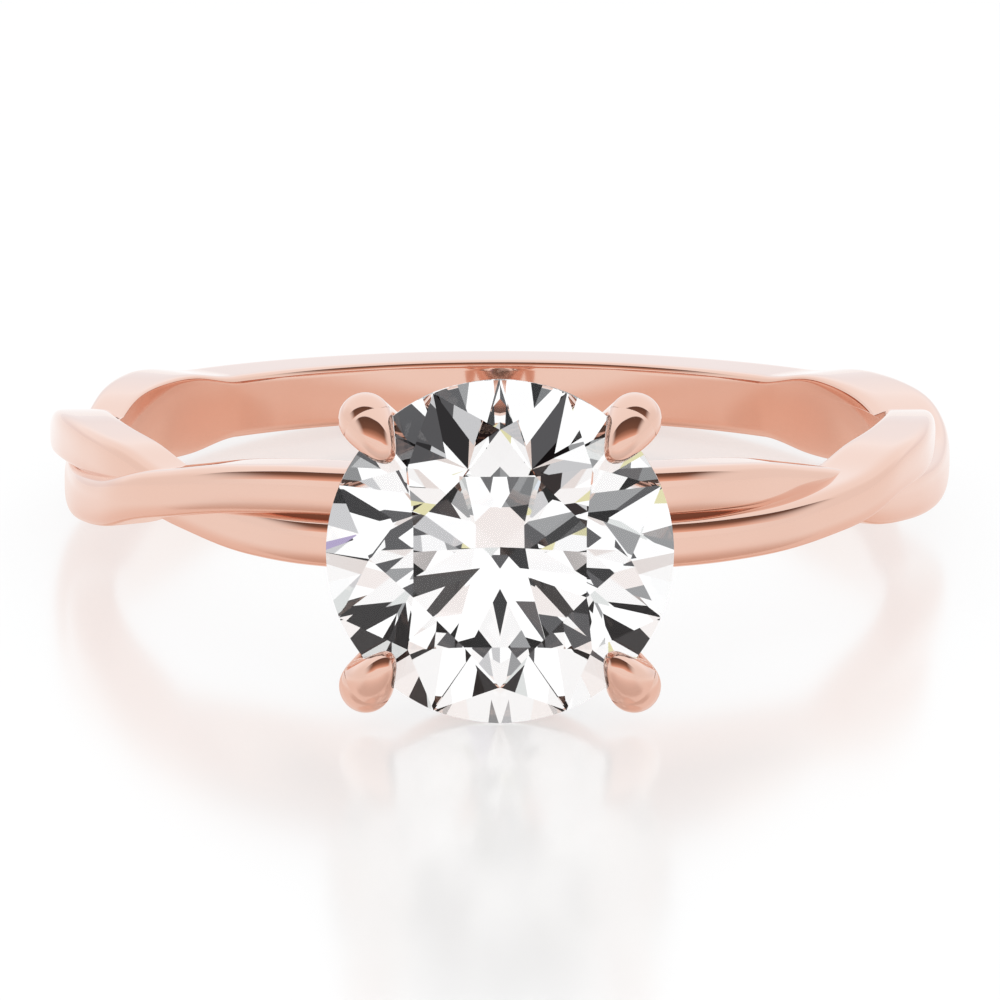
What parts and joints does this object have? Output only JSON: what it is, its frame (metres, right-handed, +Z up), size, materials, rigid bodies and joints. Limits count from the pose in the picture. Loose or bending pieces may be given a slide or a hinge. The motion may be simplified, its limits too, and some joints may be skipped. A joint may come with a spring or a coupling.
{
  "type": "twisted shank ring",
  "caption": "Finger ring of two strands twisted round each other, closed by a plain band at the back, with a round brilliant held in a claw setting.",
  "frame": {"origin": "centre of the bounding box in X and Y, at its lowest Z, where the ring lies on a table", "axes": "+Y from the stone towards the plain back band, +Z up from the table; the finger hole's axis leans 7.04 degrees from +Z towards +Y"},
  "size_m": [0.0198, 0.0246, 0.0071],
  "materials": {
    "rose_gold": "polished rose gold",
    "clear_stone": "clear faceted diamond"
  },
  "bodies": {
    "root": {"shank_and_setting": "rose_gold", "centre_stone": "clear_stone"}
  },
  "joints": []
}
